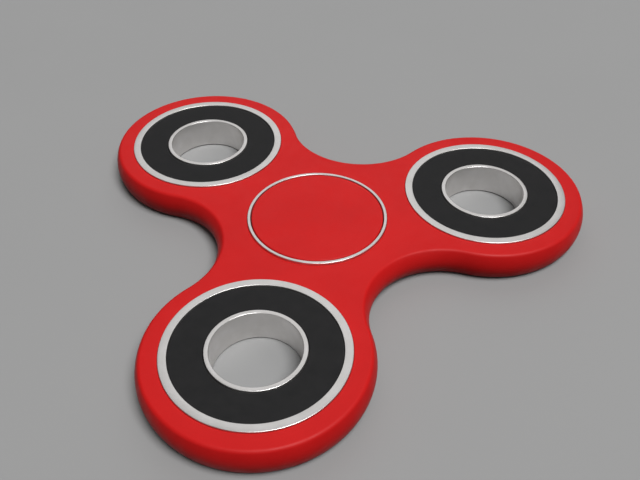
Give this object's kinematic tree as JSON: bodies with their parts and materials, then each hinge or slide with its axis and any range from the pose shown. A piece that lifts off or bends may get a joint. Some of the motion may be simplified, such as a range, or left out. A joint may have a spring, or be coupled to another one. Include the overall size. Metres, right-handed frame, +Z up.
{
  "type": "fidget spinner",
  "caption": "Flat trefoil-shaped hand spinner with sealed ball bearings in its lobes and finger caps pressed into a centre bearing.",
  "frame": {"origin": "on the spin axis, at mid-thickness", "axes": "+Z up along the spin axis, which is also the thin direction; one lobe points along -Y and the other two lie 120 degrees to either side"},
  "size_m": [0.0688, 0.0633, 0.0046],
  "materials": {
    "red_plastic": "satin moulded red plastic",
    "ring_steel": "ground bearing steel",
    "ball_steel": "polished bearing steel",
    "seal_rubber": "black moulded rubber",
    "cage_nylon": "natural nylon"
  },
  "bodies": {
    "frame": {"body": "red_plastic", "centre_outer_ring": "ring_steel", "centre_seal_top": "seal_rubber", "centre_seal_bottom": "seal_rubber", "weight1_outer_ring": "ring_steel", "weight1_seal_top": "seal_rubber", "weight1_seal_bottom": "seal_rubber", "weight2_outer_ring": "ring_steel", "weight2_seal_top": "seal_rubber", "weight2_seal_bottom": "seal_rubber", "weight3_outer_ring": "ring_steel", "weight3_seal_top": "seal_rubber", "weight3_seal_bottom": "seal_rubber"},
    "hub": {"centre_inner_ring": "ring_steel", "top_cap": "red_plastic", "bottom_cap": "red_plastic"},
    "weight1_inner": {"weight1_inner_ring": "ring_steel"},
    "weight2_inner": {"weight2_inner_ring": "ring_steel"},
    "weight3_inner": {"weight3_inner_ring": "ring_steel"},
    "centre_cage": {"centre_cage": "cage_nylon"},
    "centre_ball_1": {"centre_ball_1": "ball_steel"},
    "centre_ball_2": {"centre_ball_2": "ball_steel"},
    "centre_ball_3": {"centre_ball_3": "ball_steel"},
    "centre_ball_4": {"centre_ball_4": "ball_steel"},
    "centre_ball_5": {"centre_ball_5": "ball_steel"},
    "centre_ball_6": {"centre_ball_6": "ball_steel"},
    "centre_ball_7": {"centre_ball_7": "ball_steel"},
    "weight1_cage": {"weight1_cage": "cage_nylon"},
    "weight1_ball_1": {"weight1_ball_1": "ball_steel"},
    "weight1_ball_2": {"weight1_ball_2": "ball_steel"},
    "weight1_ball_3": {"weight1_ball_3": "ball_steel"},
    "weight1_ball_4": {"weight1_ball_4": "ball_steel"},
    "weight1_ball_5": {"weight1_ball_5": "ball_steel"},
    "weight1_ball_6": {"weight1_ball_6": "ball_steel"},
    "weight1_ball_7": {"weight1_ball_7": "ball_steel"},
    "weight2_cage": {"weight2_cage": "cage_nylon"},
    "weight2_ball_1": {"weight2_ball_1": "ball_steel"},
    "weight2_ball_2": {"weight2_ball_2": "ball_steel"},
    "weight2_ball_3": {"weight2_ball_3": "ball_steel"},
    "weight2_ball_4": {"weight2_ball_4": "ball_steel"},
    "weight2_ball_5": {"weight2_ball_5": "ball_steel"},
    "weight2_ball_6": {"weight2_ball_6": "ball_steel"},
    "weight2_ball_7": {"weight2_ball_7": "ball_steel"},
    "weight3_cage": {"weight3_cage": "cage_nylon"},
    "weight3_ball_1": {"weight3_ball_1": "ball_steel"},
    "weight3_ball_2": {"weight3_ball_2": "ball_steel"},
    "weight3_ball_3": {"weight3_ball_3": "ball_steel"},
    "weight3_ball_4": {"weight3_ball_4": "ball_steel"},
    "weight3_ball_5": {"weight3_ball_5": "ball_steel"},
    "weight3_ball_6": {"weight3_ball_6": "ball_steel"},
    "weight3_ball_7": {"weight3_ball_7": "ball_steel"}
  },
  "joints": [
    {"name": "hub_spin", "type": "hinge", "parent": "frame", "child": "hub", "pos_m": [0, 0, 0], "axis": [0, 0, 1], "continuous": true},
    {"name": "weight1_inner_spin", "type": "hinge", "parent": "frame", "child": "weight1_inner", "pos_m": [0, -0.02394, 0], "axis": [0, 0, 1], "continuous": true},
    {"name": "weight2_inner_spin", "type": "hinge", "parent": "frame", "child": "weight2_inner", "pos_m": [0.02073, 0.01197, 0], "axis": [0, 0, 1], "continuous": true},
    {"name": "weight3_inner_spin", "type": "hinge", "parent": "frame", "child": "weight3_inner", "pos_m": [-0.02073, 0.01197, 0], "axis": [0, 0, 1], "continuous": true},
    {"name": "centre_cage_orbit", "type": "hinge", "parent": "frame", "child": "centre_cage", "pos_m": [0, 0, 0], "axis": [0, 0, 1], "continuous": true},
    {"name": "centre_ball_1_roll", "type": "hinge", "parent": "centre_cage", "child": "centre_ball_1", "pos_m": [0.00643, 0, 0], "axis": [0, 0, 1], "continuous": true},
    {"name": "centre_ball_2_roll", "type": "hinge", "parent": "centre_cage", "child": "centre_ball_2", "pos_m": [0.00401, 0.00502, 0], "axis": [0, 0, 1], "continuous": true},
    {"name": "centre_ball_3_roll", "type": "hinge", "parent": "centre_cage", "child": "centre_ball_3", "pos_m": [-0.00143, 0.00626, 0], "axis": [0, 0, 1], "continuous": true},
    {"name": "centre_ball_4_roll", "type": "hinge", "parent": "centre_cage", "child": "centre_ball_4", "pos_m": [-0.00579, 0.00279, 0], "axis": [0, 0, 1], "continuous": true},
    {"name": "centre_ball_5_roll", "type": "hinge", "parent": "centre_cage", "child": "centre_ball_5", "pos_m": [-0.00579, -0.00279, 0], "axis": [0, 0, 1], "continuous": true},
    {"name": "centre_ball_6_roll", "type": "hinge", "parent": "centre_cage", "child": "centre_ball_6", "pos_m": [-0.00143, -0.00626, 0], "axis": [0, 0, 1], "continuous": true},
    {"name": "centre_ball_7_roll", "type": "hinge", "parent": "centre_cage", "child": "centre_ball_7", "pos_m": [0.00401, -0.00502, 0], "axis": [0, 0, 1], "continuous": true},
    {"name": "weight1_cage_orbit", "type": "hinge", "parent": "frame", "child": "weight1_cage", "pos_m": [0, -0.02394, 0], "axis": [0, 0, 1], "continuous": true},
    {"name": "weight1_ball_1_roll", "type": "hinge", "parent": "weight1_cage", "child": "weight1_ball_1", "pos_m": [0.00817, -0.02394, 0], "axis": [0, 0, 1], "continuous": true},
    {"name": "weight1_ball_2_roll", "type": "hinge", "parent": "weight1_cage", "child": "weight1_ball_2", "pos_m": [0.0051, -0.01755, 0], "axis": [0, 0, 1], "continuous": true},
    {"name": "weight1_ball_3_roll", "type": "hinge", "parent": "weight1_cage", "child": "weight1_ball_3", "pos_m": [-0.00182, -0.01597, 0], "axis": [0, 0, 1], "continuous": true},
    {"name": "weight1_ball_4_roll", "type": "hinge", "parent": "weight1_cage", "child": "weight1_ball_4", "pos_m": [-0.00737, -0.02039, 0], "axis": [0, 0, 1], "continuous": true},
    {"name": "weight1_ball_5_roll", "type": "hinge", "parent": "weight1_cage", "child": "weight1_ball_5", "pos_m": [-0.00737, -0.02749, 0], "axis": [0, 0, 1], "continuous": true},
    {"name": "weight1_ball_6_roll", "type": "hinge", "parent": "weight1_cage", "child": "weight1_ball_6", "pos_m": [-0.00182, -0.03191, 0], "axis": [0, 0, 1], "continuous": true},
    {"name": "weight1_ball_7_roll", "type": "hinge", "parent": "weight1_cage", "child": "weight1_ball_7", "pos_m": [0.0051, -0.03033, 0], "axis": [0, 0, 1], "continuous": true},
    {"name": "weight2_cage_orbit", "type": "hinge", "parent": "frame", "child": "weight2_cage", "pos_m": [0.02073, 0.01197, 0], "axis": [0, 0, 1], "continuous": true},
    {"name": "weight2_ball_1_roll", "type": "hinge", "parent": "weight2_cage", "child": "weight2_ball_1", "pos_m": [0.02891, 0.01197, 0], "axis": [0, 0, 1], "continuous": true},
    {"name": "weight2_ball_2_roll", "type": "hinge", "parent": "weight2_cage", "child": "weight2_ball_2", "pos_m": [0.02583, 0.01836, 0], "axis": [0, 0, 1], "continuous": true},
    {"name": "weight2_ball_3_roll", "type": "hinge", "parent": "weight2_cage", "child": "weight2_ball_3", "pos_m": [0.01891, 0.01994, 0], "axis": [0, 0, 1], "continuous": true},
    {"name": "weight2_ball_4_roll", "type": "hinge", "parent": "weight2_cage", "child": "weight2_ball_4", "pos_m": [0.01337, 0.01552, 0], "axis": [0, 0, 1], "continuous": true},
    {"name": "weight2_ball_5_roll", "type": "hinge", "parent": "weight2_cage", "child": "weight2_ball_5", "pos_m": [0.01337, 0.00842, 0], "axis": [0, 0, 1], "continuous": true},
    {"name": "weight2_ball_6_roll", "type": "hinge", "parent": "weight2_cage", "child": "weight2_ball_6", "pos_m": [0.01891, 0.004, 0], "axis": [0, 0, 1], "continuous": true},
    {"name": "weight2_ball_7_roll", "type": "hinge", "parent": "weight2_cage", "child": "weight2_ball_7", "pos_m": [0.02583, 0.00558, 0], "axis": [0, 0, 1], "continuous": true},
    {"name": "weight3_cage_orbit", "type": "hinge", "parent": "frame", "child": "weight3_cage", "pos_m": [-0.02073, 0.01197, 0], "axis": [0, 0, 1], "continuous": true},
    {"name": "weight3_ball_1_roll", "type": "hinge", "parent": "weight3_cage", "child": "weight3_ball_1", "pos_m": [-0.01256, 0.01197, 0], "axis": [0, 0, 1], "continuous": true},
    {"name": "weight3_ball_2_roll", "type": "hinge", "parent": "weight3_cage", "child": "weight3_ball_2", "pos_m": [-0.01564, 0.01836, 0], "axis": [0, 0, 1], "continuous": true},
    {"name": "weight3_ball_3_roll", "type": "hinge", "parent": "weight3_cage", "child": "weight3_ball_3", "pos_m": [-0.02255, 0.01994, 0], "axis": [0, 0, 1], "continuous": true},
    {"name": "weight3_ball_4_roll", "type": "hinge", "parent": "weight3_cage", "child": "weight3_ball_4", "pos_m": [-0.0281, 0.01552, 0], "axis": [0, 0, 1], "continuous": true},
    {"name": "weight3_ball_5_roll", "type": "hinge", "parent": "weight3_cage", "child": "weight3_ball_5", "pos_m": [-0.0281, 0.00842, 0], "axis": [0, 0, 1], "continuous": true},
    {"name": "weight3_ball_6_roll", "type": "hinge", "parent": "weight3_cage", "child": "weight3_ball_6", "pos_m": [-0.02255, 0.004, 0], "axis": [0, 0, 1], "continuous": true},
    {"name": "weight3_ball_7_roll", "type": "hinge", "parent": "weight3_cage", "child": "weight3_ball_7", "pos_m": [-0.01564, 0.00558, 0], "axis": [0, 0, 1], "continuous": true}
  ],
  "couplings": [
    {"joint": "centre_cage_orbit", "follows": "hub_spin", "ratio": 0.42174},
    {"joint": "centre_ball_1_roll", "follows": "hub_spin", "ratio": -3.1163},
    {"joint": "centre_ball_2_roll", "follows": "hub_spin", "ratio": -3.1163},
    {"joint": "centre_ball_3_roll", "follows": "hub_spin", "ratio": -3.1163},
    {"joint": "centre_ball_4_roll", "follows": "hub_spin", "ratio": -3.1163},
    {"joint": "centre_ball_5_roll", "follows": "hub_spin", "ratio": -3.1163},
    {"joint": "centre_ball_6_roll", "follows": "hub_spin", "ratio": -3.1163},
    {"joint": "centre_ball_7_roll", "follows": "hub_spin", "ratio": -3.1163},
    {"joint": "weight1_cage_orbit", "follows": "weight1_inner_spin", "ratio": 0.42707},
    {"joint": "weight1_ball_1_roll", "follows": "weight1_inner_spin", "ratio": -3.3549},
    {"joint": "weight1_ball_2_roll", "follows": "weight1_inner_spin", "ratio": -3.3549},
    {"joint": "weight1_ball_3_roll", "follows": "weight1_inner_spin", "ratio": -3.3549},
    {"joint": "weight1_ball_4_roll", "follows": "weight1_inner_spin", "ratio": -3.3549},
    {"joint": "weight1_ball_5_roll", "follows": "weight1_inner_spin", "ratio": -3.3549},
    {"joint": "weight1_ball_6_roll", "follows": "weight1_inner_spin", "ratio": -3.3549},
    {"joint": "weight1_ball_7_roll", "follows": "weight1_inner_spin", "ratio": -3.3549},
    {"joint": "weight2_cage_orbit", "follows": "weight2_inner_spin", "ratio": 0.42707},
    {"joint": "weight2_ball_1_roll", "follows": "weight2_inner_spin", "ratio": -3.3549},
    {"joint": "weight2_ball_2_roll", "follows": "weight2_inner_spin", "ratio": -3.3549},
    {"joint": "weight2_ball_3_roll", "follows": "weight2_inner_spin", "ratio": -3.3549},
    {"joint": "weight2_ball_4_roll", "follows": "weight2_inner_spin", "ratio": -3.3549},
    {"joint": "weight2_ball_5_roll", "follows": "weight2_inner_spin", "ratio": -3.3549},
    {"joint": "weight2_ball_6_roll", "follows": "weight2_inner_spin", "ratio": -3.3549},
    {"joint": "weight2_ball_7_roll", "follows": "weight2_inner_spin", "ratio": -3.3549},
    {"joint": "weight3_cage_orbit", "follows": "weight3_inner_spin", "ratio": 0.42707},
    {"joint": "weight3_ball_1_roll", "follows": "weight3_inner_spin", "ratio": -3.3549},
    {"joint": "weight3_ball_2_roll", "follows": "weight3_inner_spin", "ratio": -3.3549},
    {"joint": "weight3_ball_3_roll", "follows": "weight3_inner_spin", "ratio": -3.3549},
    {"joint": "weight3_ball_4_roll", "follows": "weight3_inner_spin", "ratio": -3.3549},
    {"joint": "weight3_ball_5_roll", "follows": "weight3_inner_spin", "ratio": -3.3549},
    {"joint": "weight3_ball_6_roll", "follows": "weight3_inner_spin", "ratio": -3.3549},
    {"joint": "weight3_ball_7_roll", "follows": "weight3_inner_spin", "ratio": -3.3549}
  ]
}
